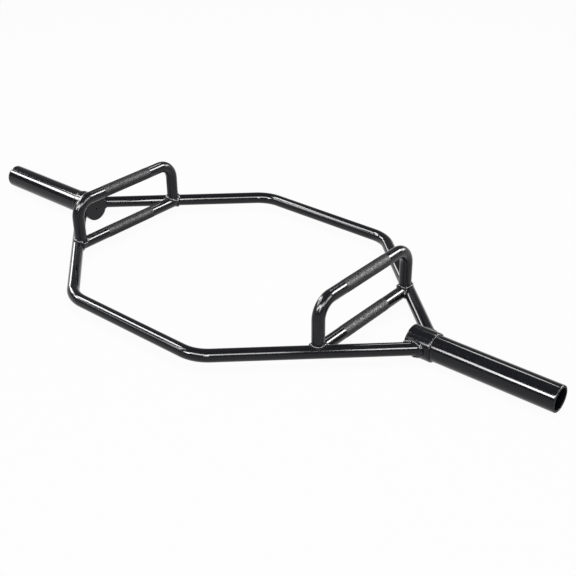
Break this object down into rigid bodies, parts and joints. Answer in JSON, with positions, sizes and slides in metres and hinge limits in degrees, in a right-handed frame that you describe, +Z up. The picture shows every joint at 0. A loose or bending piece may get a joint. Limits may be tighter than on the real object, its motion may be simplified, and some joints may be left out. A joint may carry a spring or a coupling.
{
  "type": "hex trap bar",
  "caption": "Welded hexagonal lifting bar with a plate sleeve at each end, straight low handles and raised U handles above them; the lifter stands inside the frame.",
  "frame": {"origin": "under the middle of the bar, on the floor that the hub collars touch", "axes": "+X along the sleeves to the right end, +Y across the hexagon to the rear, +Z up, on the side of the raised handles"},
  "size_m": [1.45, 0.609, 0.1366],
  "materials": {
    "gloss_black": "gloss black coat on steel",
    "grip_black": "gloss black coat, knurled band in the middle of the grip",
    "weld_black": "gloss black coat over rippled weld beads"
  },
  "bodies": {
    "root": {"front_frame_bar": "gloss_black", "rear_frame_bar": "gloss_black", "left_sleeve": "gloss_black", "left_hub_collar": "gloss_black", "left_end_disc": "gloss_black", "left_low_handle": "grip_black", "left_raised_handle": "grip_black", "left_collar_weld": "weld_black", "right_sleeve": "gloss_black", "right_hub_collar": "gloss_black", "right_end_disc": "gloss_black", "right_low_handle": "grip_black", "right_raised_handle": "grip_black", "right_collar_weld": "weld_black", "front_left_hub_weld": "weld_black", "front_left_low_handle_weld": "weld_black", "front_left_post_weld": "weld_black", "front_right_hub_weld": "weld_black", "front_right_low_handle_weld": "weld_black", "front_right_post_weld": "weld_black", "rear_left_hub_weld": "weld_black", "rear_left_low_handle_weld": "weld_black", "rear_left_post_weld": "weld_black", "rear_right_hub_weld": "weld_black", "rear_right_low_handle_weld": "weld_black", "rear_right_post_weld": "weld_black"}
  },
  "joints": []
}
